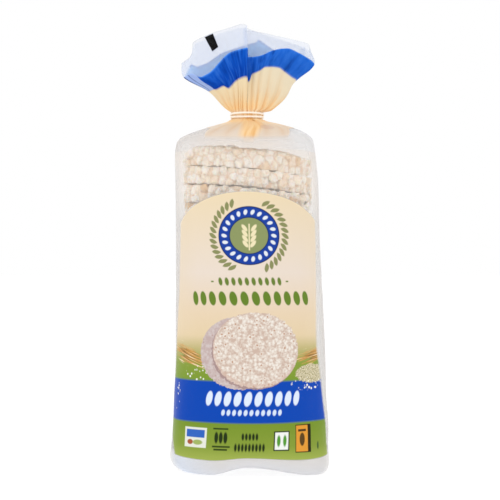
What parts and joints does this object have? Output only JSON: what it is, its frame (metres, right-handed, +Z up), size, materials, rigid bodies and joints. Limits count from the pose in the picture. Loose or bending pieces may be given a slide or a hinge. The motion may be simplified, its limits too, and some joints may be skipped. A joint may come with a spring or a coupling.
{
  "type": "bag of puffed rice cakes",
  "caption": "Tall stack of round puffed rice cakes in a printed clear film bag, standing on its folded bottom, with the gathered mouth tied by a twist tie and fanned out above it.",
  "frame": {"origin": "centre of the footprint of the whole pack's bounding box, on the surface it stands on", "axes": "+Z up along the stack of cakes, the printed front faces -Y, +X to the right of a person facing the front"},
  "size_m": [0.1128, 0.1022, 0.3155],
  "materials": {
    "printed_film": "satin",
    "twist_tie": "matte"
  },
  "bodies": {
    "root": {"bag_of_rice_cakes": "printed_film", "twist_tie": "twist_tie"}
  },
  "joints": []
}
